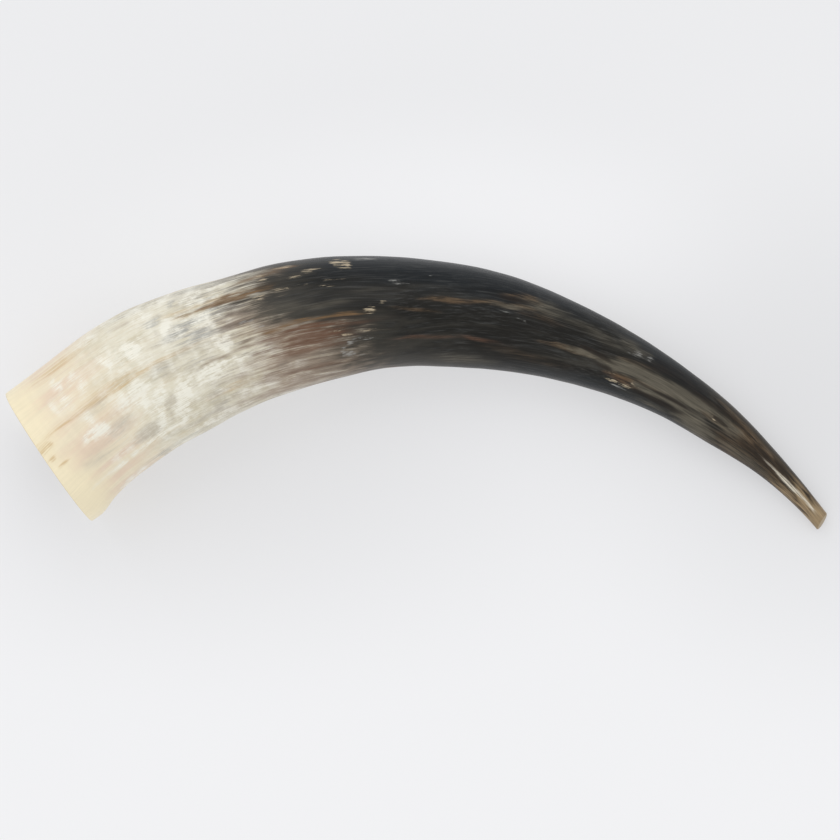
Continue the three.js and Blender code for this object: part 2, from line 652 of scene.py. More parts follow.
def dark_run() -> list[Mark]:
    """Lists the marks of the dark run: streaks that climb to the outer curve as they widen.

    Returns:
        The marks.
    """
    return [
        *marks(
            Pigment.SLATE,
            (215, 62, 80, 17, 1.1),
            (325, 48, 34, 9, 0.9),
            (300, -62, 60, 8, 0.8),
        ),
        *marks(
            Pigment.BARK,
            (215, 16, 9, 1.3, 1.3, 4),
            (235, 20, 14, 1.0, 0.9, 6),
            (250, 24, 10, 1.4, 0.8, 6),
            (246, 38, 7, 1.2, 0.85, 10),
            (254, 40, 6, 2.4, 0.8),
            (262, 18, 11, 2.2, 0.55),
            (200, 2, 12, 1.0, 0.6),
            (258, -36, 30, 4, 0.40),
            (280, -10, 14, 1.1, 1.4, 3),
            (314, 10, 14, 1.8, 0.5, 5),
            (310, -24, 7, 2.2, 1.15),
            (322, -15, 16, 1.0, 0.8, 3),
        ),
        *marks(
            Pigment.UMBER,
            (206, -27, 15, 1.1, 0.62),
            (232, -25, 11, 1.2, 0.6),
            (309, -26, 7, 1.6, 0.7),
        ),
        *marks(
            Pigment.TAUPE,
            (262, 34, 12, 4.6, 0.62),
            (284, 29, 20, 3.4, 0.48),
            (296, 24, 12, 3.0, 0.42),
            (288, -8, 13, 1.4, 1.05, 4),
            (246, 22, 10, 1.2, 0.8, 6),
            (226, -58, 20, 5, 0.52),
            (311, -4, 14, 3.0, 1.4, 4),
            (331, 0, 17, 3.3, 1.4, 6),
            (346, 4, 14, 3.2, 1.15, 8),
            (362, 5, 13, 3.4, 0.85),
            (325, -25, 10, 1.8, 1.15),
            (340, -26, 10, 1.6, 0.95),
            (352, -45, 13, 6, 1.0, -14),
            (330, -53, 12, 2.4, 0.5),
            (307, 37, 8, 4, 0.6),
        ),
        *marks(
            Pigment.SOOT,
            (246, 31.5, 8, 1.2, 1.2, 4),
            (292, -2.5, 8, 1.0, 1.5, -3),
            (297, -17, 6, 1.2, 0.9),
            (334, -18.5, 14, 0.8, 1.1),
            (330, -36, 13, 1.4, 1.3),
            (334, 33, 19, 5, 0.7, 6),
            (356, 26, 16, 1.8, 1.1, 3),
        ),
        *marks(
            Pigment.FLECK,
            (308, -36, 6.5, 0.9, 1.1),
            (312, -35, 2.6, 0.8, 1.2),
            (302.5, -22, 1.4, 1.0, 0.8),
            (316, -26, 1.4, 1.0, 0.75),
        ),
        *marks(
            Pigment.FROST,
            (309, -44, 4.0, 0.7, 0.95),
            (316.5, 32, 1.9, 1.2, 1.5),
            (310, 27, 5.4, 2.0, 0.75, 20),
            (252, 9, 2.2, 0.8, 0.72, -30),
            (243, 14, 2.4, 0.8, 0.62),
            (208.5, 44, 1.2, 0.7, 0.9),
        ),
    ]


def tip_end() -> list[Mark]:
    """Lists the marks of the tip: mottled brown that pales to tan, with one ivory sliver along the
    tip's ridge that is partly a pale streak and partly a painted highlight.

    Returns:
        The marks.
    """
    return [
        *marks(
            Pigment.BARK,
            (360, -1, 9, 1.8, 1.2),
            (376, 48, 18, 3.0, 1.1),
            (378, 20, 11, 2.0, 0.8),
        ),
        *marks(
            Pigment.SOOT,
            (386, 64, 34, 2.6, 1.2),
            (362, 2, 4.4, 1.0, 1.2),
            (390, 14, 7, 1.0, 1.2),
            (388, -7, 14, 1.8, 0.85),
            (401, 30, 5.5, 2.4, 1.0),
            (420, 35, 2.4, 1.0, 1.1),
        ),
        *marks(
            Pigment.TAN,
            (414, -58, 12, 1.3, 0.9),
            (413, 46, 7, 1.2, 0.7),
            (417, 24, 6, 0.9, 0.9),
            (421, -1, 7, 2.2, 1.3),
            (435, 0, 7.5, 60, 1.8),
            (424, -34, 5, 1.8, 0.9),
            (412, -38, 10, 1.4, 0.55),
        ),
        *marks(
            Pigment.UMBER,
            (424, -38, 5, 1.6, 0.6),
        ),
        *marks(
            Pigment.TAUPE,
            (384, -50, 20, 3.4, 0.62),
        ),
        *marks(
            Pigment.OCHRE,
            (406, 54, 16, 3.2, 0.85),
        ),
        *marks(
            Pigment.FLECK,
            (358.5, -3.5, 1.0, 0.8, 1.1),
        ),
        # The ivory sliver is partly a pale streak in the horn and partly a painted highlight: the
        # glint of a light along the tip's ridge.
        *marks(
            Pigment.IVORY_AND_HIGHLIGHT,
            (401, -3, 7, 0.45, 1.0, -1),
            (409, -5.5, 6, 0.95, 1.05),
            (417, 0, 6, 0.75, 1.05, 1),
            (425, 0, 4.5, 0.7, 0.7),
        ),
    ]


@dataclass(frozen=True)
class Strewing:
    """Marks of one kind that are strewn by a seeded draw, in millimetres and degrees."""

    count: int
    pigments: tuple[Pigment, ...]
    run: Span
    sides: Span
    lengths: Span
    widths: Span
    leans: Span | None = None


@dataclass(frozen=True)
class Pattern:
    """Where each pigment lies over the whole horn, in millimetres and degrees.

    Each row of dark_between is a side, where it starts to darken there and where it is dark.
    """

    seed: int = 11
    darkness: Span = (-1.5, 2.5)
    dark_between: tuple[Triple, ...] = (
        (-180, 112, 184),
        (-140, 120, 192),
        (-100, 132, 212),
        (-75, 132, 204),
        (-50, 126, 190),
        (-38, 126, 186),
        (-24, 120, 184),
        (-12, 119, 178),
        (-4, 116, 167),
        (3, 111, 156),
        (10, 108, 146),
        (20, 106, 139),
        (30, 108, 138),
        (38, 101, 134),
        (50, 105, 139),
        (62, 109, 146),
        (75, 105, 141),
        (110, 104, 150),
        (150, 106, 162),
        (180, 112, 184),
    )
    drift_along: Waves = Waves(21, 14, 1.6, (3, 22), (7, 28))
    drift_round: Waves = Waves(22, 12, 1.1, (2, 10), (20, 100))
    washes: tuple[Wash, ...] = (
        Wash(Pigment.MILK, 0.40, 12, 40),
        Wash(Pigment.MIST, 0.42, 25, 60),
        Wash(Pigment.SLATE, 0.30, 60, 30),
        Wash(Pigment.STRAW, 0.25, 12, 30),
        Wash(Pigment.BARK, 0.66, 345, 30),
        Wash(Pigment.TAN, 0.56, 402, 30),
    )
    clusters: Strewing = Strewing(
        count=95,
        pigments=(Pigment.MILK, Pigment.MILK, Pigment.MIST),
        run=(12, 140),
        sides=(78, 282),
        lengths=(2.5, 9),
        widths=(3, 9),
    )
    cluster_strengths: Span = (0.7, 1.2)
    flecks: Strewing = Strewing(
        count=34,
        pigments=(Pigment.FLECK, Pigment.FROST, Pigment.OCHRE, Pigment.UMBER),
        run=(110, 210),
        sides=(85, 280),
        lengths=(3, 14),
        widths=(0.8, 2.6),
    )
    streaks: Strewing = Strewing(
        count=30,
        pigments=(Pigment.BARK, Pigment.TAUPE, Pigment.TAUPE, Pigment.SOOT),
        run=(200, 420),
        sides=(85, 280),
        lengths=(12, 30),
        widths=(1.2, 7),
        leans=(0, 10),
    )
    streak_strength: float = 1.1

    def scatter(self) -> list[Mark]:
        """Strews marks round the sides that the listed ones leave bare.

        Returns:
            The marks.
        """
        draw = random.Random(self.seed)
        strewn = []
        kind = self.clusters
        for _ in range(kind.count):
            side = draw.uniform(*kind.sides)
            long, wide = draw.uniform(*kind.lengths), draw.uniform(*kind.widths)
            pigment = draw.choice(kind.pigments)
            along, strength = draw.uniform(*kind.run), draw.uniform(*self.cluster_strengths)
            strewn.append(Mark(pigment, along, side, long, wide, strength))
        for kind in (self.flecks, self.streaks):
            for _ in range(kind.count):
                side, pigment = draw.uniform(*kind.sides), draw.choice(kind.pigments)
                long, wide = draw.uniform(*kind.lengths), draw.uniform(*kind.widths)
                along = draw.uniform(*kind.run)
                lean = draw.uniform(*kind.leans) if kind.leans else 0.0
                strewn.append(Mark(pigment, along, side, long, wide, self.streak_strength, lean))
        return strewn

    def darkening(self, along: Numbers, side: Numbers) -> Numbers:
        """Works out how dark the body is.

        Args:
            along: Distances from the mouth, in millimetres.
            side: Angles round the horn, in degrees.

        Returns:
            0 where it starts to darken and 1 where it is dark, and on past both.
        """
        sides, starts, ends = zip(*self.dark_between)
        turned = (side + 180) % 360 - 180
        start, end = np.interp(turned, sides, starts), np.interp(turned, sides, ends)
        return np.clip((along - start) / (end - start), *self.darkness)

    def lay(self, along: Numbers, side: Numbers, radius: Numbers) -> dict[Pigment, Numbers]:
        """Lays every mark.

        Args:
            along: Distances from the mouth, in millimetres.
            side: Angles round the horn, in degrees.
            radius: The horn's radius at each place, in millimetres.

        Returns:
            Each pigment's strength at each place.
        """
        drifted = along + self.drift_along.at(along, side)
        turned = side + self.drift_round.at(along, side)
        cover = {pigment: np.zeros_like(along) for pigment in Pigment}
        cover[Pigment.CHAR] = self.darkening(drifted, turned)
        for wash in self.washes:
            cover[wash.pigment] += wash.cover(along)
        for mark in (*pale_end(), *turn_to_dark(), *dark_run(), *tip_end(), *self.scatter()):
            here = mark.cover(drifted, turned, radius)
            cover[mark.pigment] = np.maximum(cover[mark.pigment], here)
        return cover


# ---- finishes ----


def seen(red: int, green: int, blue: int) -> Colour:
    """Turns a colour as it is seen into the surface's own, less what its polish reflects.

    Args:
        red: The seen colour's red, 0 to 255.
        green: Its green.
        blue: Its blue.

    Returns:
        The surface's own colour, in linear light.
    """
    polish = 0.016
    darkest = 0.003
    return tuple(max((channel / 255) ** 2.2 - polish, darkest) for channel in (red, green, blue))


@dataclass(frozen=True)
class Noise:
    """A noise: its features to a unit along each axis, and how many finer layers, how strong."""

    grain: Triple
    detail: float = 2.0
    roughness: float = 0.55


class Graph:
    """Adds shader nodes to one material or world, and joins them as it goes."""

    def __init__(self, owner: Material | World, shader: str = "Principled BSDF") -> None:
        """Starts with the shader that a new material or world comes with.

        Args:
            owner: The material or world.
            shader: The name of its shader node.
        """
        owner.use_nodes = True
        self.owner = owner
        self.tree = owner.node_tree
        self.shader = self.tree.nodes[shader]

    def add(self, kind: str, inputs: dict[str | int, object], **settings: object) -> Node:
        """Adds a node.

        Args:
            kind: The node's type, without its ShaderNode prefix.
            inputs: A value or a socket for each input, by name or number.
            **settings: The node's own properties.

        Returns:
            The node.
        """
        node = self.tree.nodes.new(f"ShaderNode{kind}")
        for name, value in settings.items():
            setattr(node, name, value)
        self.feed(node, inputs)
        return node

    def feed(self, node: Node, inputs: dict[str | int, object]) -> None:
        """Gives a node's inputs their values, or joins sockets to them.

        Args:
            node: The node.
            inputs: A value or a socket for each input, by name or number.
        """
        for key, value in inputs.items():
            socket = node.inputs[key]
            if isinstance(value, NodeSocket):
                self.tree.links.new(value, socket)
            elif isinstance(value, tuple) and socket.type == "RGBA":
                socket.default_value = (*value, 1.0)
            else:
                socket.default_value = value

    def math(self, operation: str, *values: object) -> NodeSocket:
        """Returns the result of one Math node."""
        return self.add("Math", dict(enumerate(values)), operation=operation).outputs[0]

    def vector(self, operation: str, *values: object) -> NodeSocket:
        """Returns the result of one Vector Math node."""
        return self.add("VectorMath", dict(enumerate(values)), operation=operation).outputs[0]

    def split(self, vector: NodeSocket) -> tuple[NodeSocket, ...]:
        """Returns the three parts of a vector."""
        return tuple(self.add("SeparateXYZ", {0: vector}).outputs)

    def place(self, kind: str) -> NodeSocket:
        """Returns where a point lies, in one kind of coordinates."""
        return self.add("TexCoord", {}).outputs[kind]

    def unrolled(self) -> NodeSocket:
        """Returns where a point lies on the unrolled horn."""
        return self.add("UVMap", {}, uv_map=UV_NAME).outputs[0]

    def strength(self, name: str) -> NodeSocket:
        """Returns a value that the mesh carries."""
        return self.add("Attribute", {}, attribute_name=name).outputs["Fac"]

    def noise(self, place: NodeSocket, noise: Noise) -> NodeSocket:
        """Adds a noise.

        Args:
            place: Where to read it.
            noise: Which one.

        Returns:
            The noise, 0 to 1 and mostly near 0.5.
        """
        scaled = self.vector("MULTIPLY", place, noise.grain)
        layers = {"Detail": noise.detail, "Roughness": noise.roughness}
        return self.add("TexNoise", {"Vector": scaled, "Scale": 1.0, **layers}).outputs["Fac"]

    def mean(self, *shares: tuple[float, NodeSocket]) -> NodeSocket:
        """Adds values up, each times its share.

        Args:
            *shares: Each share and its value.

        Returns:
            The sum.
        """
        total = self.math("MULTIPLY", shares[0][1], shares[0][0])
        for share, value in shares[1:]:
            total = self.math("MULTIPLY_ADD", value, share, total)
        return total

    def slide(self, value: NodeSocket, span: Span, low: object, high: object) -> NodeSocket:
        """Turns a value that runs through a span into one that runs evenly from low to high.

        Args:
            value: The value.
            span: Where it starts and ends.
            low: The result up to the start.
            high: The result from the end on.

        Returns:
            The result.
        """
        inputs = {"Value": value, "From Min": span[0], "From Max": span[1]}
        node = self.add("MapRange", {**inputs, "To Min": low, "To Max": high}, clamp=True)
        return node.outputs["Result"]

    def ramp(self, value: NodeSocket, span: Span) -> NodeSocket:
        """Turns a value that runs through a span into a smooth rise.

        Args:
            value: The value.
            span: Where the rise starts and ends.

        Returns:
            0 at the start of the span, and 1 at its end.
        """
        inputs = {"Value": value, "From Min": span[0], "From Max": span[1]}
        node = self.add("MapRange", inputs, interpolation_type="SMOOTHSTEP", clamp=True)
        return node.outputs["Result"]

    def blend(self, below: object, above: object, share: object) -> NodeSocket:
        """Lays one colour over another.

        Args:
            below: The colour underneath, or a socket.
            above: The colour on top, or a socket.
            share: How much of the top colour shows, 0 to 1.

        Returns:
            The blended colour.
        """
        inputs = {0: share, 6: below, 7: above}
        return self.add("Mix", inputs, data_type="RGBA", clamp_factor=True).outputs[2]

    def bump(self, height: NodeSocket, strength: float, depth: float) -> NodeSocket:
        """Raises a fine relief.

        Args:
            height: How high it is, 0 to 1.
            strength: How strongly it shows, 0 to 1.
            depth: How high a height of 1 is.

        Returns:
            The normal.
        """
        inputs = {"Height": height, "Strength": strength, "Distance": depth}
        return self.add("Bump", inputs).outputs["Normal"]


class Grain(Enum):
    """The patterns that break up the pigments."""

    FIBRE = "fibre"
    FLEECE = "fleece"
    STROKE = "stroke"
    BAND = "band"
    CLOUD = "cloud"
    DRIFT = "drift"


Grains = dict[Grain, NodeSocket]


@dataclass(frozen=True)
class Layer:
    """How a pigment is laid: its colour, what breaks it up and how much, and how thick it is.

    It shows where its strength, times the grain, passes the threshold, give or take the softness.
    """

    pigment: Pigment
    colour: Colour
    grain: Grain
    bite: float
    threshold: float
    softness: float
    most: float

    def over(self, graph: Graph, below: NodeSocket, grains: Grains) -> NodeSocket:
        """Lays the pigment over a colour.

        Args:
            graph: The material's nodes.
            below: The colour underneath.
            grains: The patterns that can break it up.

        Returns:
            The colour with the pigment on it.
        """
        bitten = graph.math("MULTIPLY_ADD", grains[self.grain], self.bite, 1 - self.bite / 2)
        edge = graph.math("MULTIPLY", graph.strength(self.pigment.value), bitten)
        span = (self.threshold - self.softness, self.threshold + self.softness)
        cover = graph.ramp(edge, span)
        return graph.blend(below, self.colour, graph.math("MULTIPLY", cover, self.most))


@dataclass(frozen=True)
class PolishedHorn:
    """The skin: pigments broken up by the fibres that run along the horn, under a soft polish.

    The noises have their features to a millimetre, along the fibres and then across them. A span
    of a grain or a depth is where one colour gives way to another.
    """

    cream: Colour = seen(236, 223, 197)
    blush: Colour = seen(230, 209, 186)
    blush_span: Span = (0.42, 0.60)
    shell: Colour = seen(228, 222, 202)
    khaki: Colour = seen(208, 200, 176)
    khaki_span: Span = (0.42, 0.62)
    butter: Colour = seen(245, 232, 200)
    butter_ends: Span = (25.0, 5.0)
    shell_starts: Span = (34.0, 62.0)
    ragged_by_cloud: float = 24.0
    ragged_by_fibre: float = 16.0
    pale_layers: tuple[Layer, ...] = (
        Layer(Pigment.STRAW, seen(205, 175, 128), Grain.FIBRE, 8.0, 0.55, 0.45, 0.7),
        Layer(Pigment.MIST, seen(186, 178, 163), Grain.DRIFT, 7.0, 0.60, 0.52, 0.7),
        Layer(Pigment.SLATE, seen(146, 148, 148), Grain.FIBRE, 8.0, 0.60, 0.48, 0.7),
        Layer(Pigment.MILK, seen(244, 241, 228), Grain.FLEECE, 8.5, 0.60, 0.55, 0.88),
        Layer(Pigment.ROSE, seen(148, 127, 111), Grain.DRIFT, 5.0, 0.55, 0.50, 0.8),
    )
    dusk: Colour = seen(107, 98, 88)
    smoke: Colour = seen(66, 64, 60)
    char: Colour = seen(47, 46, 44)
    steel: Colour = seen(45, 48, 51)
    grey_and_sheen: Colour = seen(68, 68, 67)
    # Paler streaks along the fibres of the dark body: partly the fibres' own grey, partly painted
    # sheen for the polish's uneven gloss.
    turn_bite: float = 3.8
    rosy_calm: float = 1.7
    rosy_span: Span = (0.2, 1.0)
    smoke_span: Span = (0.40, 1.0)
    smoky_band: Span = (0.50, 0.72)
    steel_bite: float = 1.6
    steel_span: Span = (0.2, 1.0)
    steel_most: float = 0.85
    # Where the streaks of grey and painted sheen show, and how strongly.
    grey_and_sheen_span: Span = (0.47, 0.68)
    grey_and_sheen_most: float = 0.7
    deep_span: Span = (0.8, 1.7)
    dark_span: Span = (-0.1, 0.8)
    dark_layers: tuple[Layer, ...] = (
        Layer(Pigment.UMBER, seen(112, 84, 69), Grain.DRIFT, 4.0, 0.60, 0.55, 0.70),
        Layer(Pigment.OCHRE, seen(126, 100, 74), Grain.DRIFT, 8.0, 0.60, 0.48, 0.7),
        Layer(Pigment.BARK, seen(98, 82, 66), Grain.DRIFT, 7.0, 0.65, 0.55, 0.75),
        Layer(Pigment.TAUPE, seen(101, 96, 86), Grain.DRIFT, 3.2, 0.55, 0.45, 0.88),
        Layer(Pigment.TAN, seen(158, 138, 110), Grain.DRIFT, 6.0, 0.55, 0.50, 0.88),
        Layer(Pigment.SOOT, seen(52, 48, 45), Grain.DRIFT, 6.0, 0.60, 0.52, 0.8),
        Layer(Pigment.FLECK, seen(196, 180, 154), Grain.STROKE, 13.0, 0.95, 0.55, 0.75),
        Layer(Pigment.FROST, seen(158, 157, 153), Grain.STROKE, 13.0, 0.95, 0.60, 0.6),
        # The ivory sliver at the tip: partly pale horn, partly a painted highlight.
        Layer(Pigment.IVORY_AND_HIGHLIGHT, seen(206, 198, 182), Grain.FIBRE, 6.0, 0.55, 0.50, 0.88),
    )
    fine: Noise = Noise((0.07, 1.6, 1.6), 4.0)
    strand: Noise = Noise((0.028, 0.75, 0.75), 4.0, 0.62)
    plate: Noise = Noise((0.16, 0.075, 0.075), 4.0, 0.62)
    stroke: Noise = Noise((0.20, 1.25, 1.25), 3.0, 0.6)
    patch: Noise = Noise((0.05, 0.24, 0.24), 4.0, 0.6)
    band: Noise = Noise((0.012, 0.14, 0.14), 3.0)
    cloud: Noise = Noise((0.032, 0.10, 0.10), 4.0, 0.6)
    ring: Noise = Noise((0.4, 0.03, 0.03))
    hair: Noise = Noise((0.12, 5.5, 5.5))
    comb_pale: float = 0.28
    comb_dark: float = 2.1
    comb_span: Span = (0.2, 1.0)
    ring_depth: float = 0.07
    twist_run: Span = (190.0, 330.0)
    twist: float = 0.55
    girth_at_tip: float = 13.0
    wander_grain: Triple = (0.014, 0.03, 0.03)
    wander: float = 9.0
    roughness: float = 0.36
    unevenness: float = 0.3
    specular_level: float = 0.195
    scratch_strength: float = 0.4
    scratch_depth: float = 0.0002

    def material(self, form: HornForm) -> Material:
        """Makes the finish.

        Args:
            form: The horn that it covers.

        Returns:
            The material.
        """
        graph = Graph(bpy.data.materials.new("polished_horn"))
        along, place = self.run_of_grain(graph, form)
        fine = graph.noise(place, self.fine)
        strand = graph.noise(place, self.strand)
        plate = graph.noise(place, self.plate)
        stroke = graph.noise(place, self.stroke)
        patch = graph.noise(place, self.patch)
        grains = {
            Grain.FIBRE: graph.mean((0.55, strand), (0.45, fine)),
            Grain.DRIFT: graph.mean((0.30, strand), (0.25, fine), (0.45, patch)),
            Grain.FLEECE: graph.mean((0.40, plate), (0.40, stroke), (0.20, fine)),
            Grain.STROKE: graph.mean((0.65, stroke), (0.35, fine)),
            Grain.BAND: graph.noise(place, self.band),
            Grain.CLOUD: graph.noise(place, self.cloud),
        }
        colour = self.ground(graph, along, grains)
        for layer in self.pale_layers:
            colour = layer.over(graph, colour, grains)
        colour = self.darken(graph, colour, grains)
        for layer in self.dark_layers:
            colour = layer.over(graph, colour, grains)
        colour = self.comb(graph, colour, place, grains)
        graph.feed(graph.shader, {"Base Color": colour})
        self.polish(graph, place, fine)
        return graph.owner

    def run_of_grain(self, graph: Graph, form: HornForm) -> tuple[NodeSocket, NodeSocket]:
        """Finds where a point lies in the horn's grain, in millimetres.

        Args:
            graph: The material's nodes.
            form: The horn that it covers.

        Returns:
            The distance along the horn, and a place that has the fibres running along X.
        """
        length, body = form.axis_length * 1000, form.body_radius * 1000
        share, turns, _ = graph.split(graph.unrolled())
        along = graph.math("MULTIPLY", share, length)
        twist = graph.slide(along, self.twist_run, 0.0, self.twist)
        girth = graph.slide(along, (self.twist_run[0], length), body, self.girth_at_tip)
        turn = graph.math("SUBTRACT", graph.math("MULTIPLY", turns, math.tau), twist)
        across = graph.math("MULTIPLY", graph.math("COSINE", turn), girth)
        upward = graph.math("MULTIPLY", graph.math("SINE", turn), girth)
        place = graph.add("CombineXYZ", {0: along, 1: across, 2: upward}).outputs[0]
        slow = graph.vector("MULTIPLY", place, self.wander_grain)
        sway = graph.add("TexNoise", {"Vector": slow, "Scale": 1.0, "Detail": 1.0})
        centred = graph.vector("SUBTRACT", sway.outputs["Color"], (0.5, 0.5, 0.5))
        reach = (0.0, self.wander, self.wander)
        return along, graph.vector("MULTIPLY_ADD", centred, reach, place)

    def ground(self, graph: Graph, along: NodeSocket, grains: Grains) -> NodeSocket:
        """Mixes the pale ground: cream with blushes, and butter at the mouth.

        Args:
            graph: The material's nodes.
            along: The distance along the horn.
            grains: The patterns that break the pigments up.

        Returns:
            The colour.
        """
        near = graph.blend(self.cream, self.blush, graph.ramp(grains[Grain.BAND], self.blush_span))
        far = graph.blend(self.shell, self.khaki, graph.ramp(grains[Grain.CLOUD], self.khaki_span))
        by_cloud = (self.ragged_by_cloud, grains[Grain.CLOUD])
        by_fibre = (self.ragged_by_fibre, grains[Grain.FIBRE])
        ragged = graph.mean((1.0, along), by_cloud, by_fibre)
        middle = (self.ragged_by_cloud + self.ragged_by_fibre) / 2
        shell, butter = (
            graph.ramp(ragged, (span[0] + middle, span[1] + middle))
            for span in (self.shell_starts, self.butter_ends)
        )
        return graph.blend(graph.blend(near, far, shell), self.butter, butter)

    def darken(self, graph: Graph, below: NodeSocket, grains: Grains) -> NodeSocket:
        """Lays the dark body, which thickens from a dusky brown to char, calmly where it is rosy,
        with paler streaks along the fibres that are partly their own grey and partly painted
        sheen.

        Args:
            graph: The material's nodes.
            below: The colour underneath.
            grains: The patterns that break the pigments up.

        Returns:
            The colour with the dark body on it.
        """
        calm = graph.ramp(graph.strength(Pigment.ROSE.value), self.rosy_span)
        bite = graph.math("MULTIPLY_ADD", calm, -self.rosy_calm, self.turn_bite)
        grain = graph.math("SUBTRACT", grains[Grain.DRIFT], 0.5)
        depth = graph.math("MULTIPLY_ADD", grain, bite, graph.strength(Pigment.CHAR.value))
        thin = graph.blend(self.dusk, self.smoke, graph.ramp(depth, self.smoke_span))
        smoky = graph.ramp(grains[Grain.BAND], self.smoky_band)
        slate = graph.strength(Pigment.SLATE.value)
        cool = graph.ramp(graph.mean((1.0, slate), (self.steel_bite, grain)), self.steel_span)
        # Paler streaks along the fibres: partly their own grey, partly painted sheen.
        grey_and_sheen_share = graph.ramp(grains[Grain.FIBRE], self.grey_and_sheen_span)
        deep = graph.blend(self.char, self.smoke, smoky)
        deep = graph.blend(deep, self.steel, graph.math("MULTIPLY", cool, self.steel_most))
        deep = graph.blend(deep, self.grey_and_sheen, graph.math("MULTIPLY", grey_and_sheen_share, self.grey_and_sheen_most))
        dark = graph.blend(thin, deep, graph.ramp(depth, self.deep_span))
        return graph.blend(below, dark, graph.ramp(depth, self.dark_span))

    def comb(
        self, graph: Graph, below: NodeSocket, place: NodeSocket, grains: Grains
    ) -> NodeSocket:
        """Draws the fibres through every colour, stronger where the horn is dark.

        Args:
            graph: The material's nodes.
            below: The colour underneath.
            place: The place in the grain.
            grains: The patterns that break the pigments up.

        Returns:
            The combed colour.
        """
        dark = graph.ramp(graph.strength(Pigment.CHAR.value), self.comb_span)
        depth = graph.math("MULTIPLY_ADD", dark, self.comb_dark, self.comb_pale)
        fibre = graph.math("SUBTRACT", grains[Grain.FIBRE], 0.5)
        light = graph.math("MULTIPLY_ADD", fibre, depth, 1.0)
        rings = graph.math("SUBTRACT", graph.noise(place, self.ring), 0.5)
        ringed = graph.math("MULTIPLY_ADD", rings, self.ring_depth, light)
        return graph.add("VectorMath", {0: below, "Scale": ringed}, operation="SCALE").outputs[0]

    def polish(self, graph: Graph, place: NodeSocket, fine: NodeSocket) -> None:
        """Gives the polish its gloss, uneven along the fibres, and fine scratches.

        Args:
            graph: The material's nodes.
            place: The place in the grain.
            fine: The finest fibres.
        """
        hair = graph.noise(place, self.hair)
        least = self.roughness - self.unevenness / 2
        height = graph.mean((0.7, fine), (0.3, hair))
        inputs = {
            "Roughness": graph.math("MULTIPLY_ADD", hair, self.unevenness, least),
            "Specular IOR Level": self.specular_level,
            "Normal": graph.bump(height, self.scratch_strength, self.scratch_depth),
        }
        graph.feed(graph.shader, inputs)


@dataclass(frozen=True)
class SawnHorn:
    """A sawn face: matt, with the growth layers showing as fine lines."""

    pale: Colour = seen(240, 224, 188)
    layer: Colour = seen(214, 192, 152)
    layer_span: Span = (-0.6, 1.4)
    layer_turns: float = 24.0
    layer_waver: float = 9.0
    tip: Colour = seen(168, 150, 122)
    tip_span: Span = (0.4, 0.6)
    cloud: Noise = Noise((90.0, 90.0, 90.0), 3.0)
    saw: Noise = Noise((700.0, 2600.0, 700.0))
    saw_strength: float = 0.4
    saw_depth: float = 0.0002
    roughness: float = 0.55

    def material(self) -> Material:
        """Makes the finish.

        Returns:
            The material.
        """
        graph = Graph(bpy.data.materials.new("sawn_horn"))
        place = graph.place("Object")
        through = (self.layer_turns, graph.strength("depth"))
        waver = (self.layer_waver, graph.noise(place, self.cloud))
        rings = graph.math("SINE", graph.mean(through, waver))
        colour = graph.blend(self.pale, self.layer, graph.ramp(rings, self.layer_span))
        near_tip = graph.ramp(graph.split(graph.unrolled())[0], self.tip_span)
        inputs = {
            "Base Color": graph.blend(colour, self.tip, near_tip),
            "Roughness": self.roughness,
            "Normal": graph.bump(graph.noise(place, self.saw), self.saw_strength, self.saw_depth),
        }
        graph.feed(graph.shader, inputs)
        return graph.owner


@dataclass(frozen=True)
class HollowHorn:
    """The hollow's wall: unpolished, grooved along the horn and stained by the bone core."""

    pale: Colour = seen(206, 188, 152)
    stain: Colour = seen(128, 100, 70)
    stain_span: Span = (0.4, 0.62)
    grooves: Noise = Noise((9.0, 60.0, 1.0), 4.0, 0.6)
    cloud: Noise = Noise((9.0, 7.0, 1.0), 3.0)
    groove_strength: float = 0.6
    groove_depth: float = 0.0005
    roughness: float = 0.8

    def material(self) -> Material:
        """Makes the finish.

        Returns:
            The material.
        """
        graph = Graph(bpy.data.materials.new("hollow_horn"))
        flat = graph.unrolled()
        grooves = graph.noise(flat, self.grooves)
        mixed = graph.mean((0.5, grooves), (0.5, graph.noise(flat, self.cloud)))
        inputs = {
            "Base Color": graph.blend(self.pale, self.stain, graph.ramp(mixed, self.stain_span)),
            "Roughness": self.roughness,
            "Normal": graph.bump(grooves, self.groove_strength, self.groove_depth),
        }
        graph.feed(graph.shader, inputs)
        return graph.owner


# ---- the horn's mesh ----


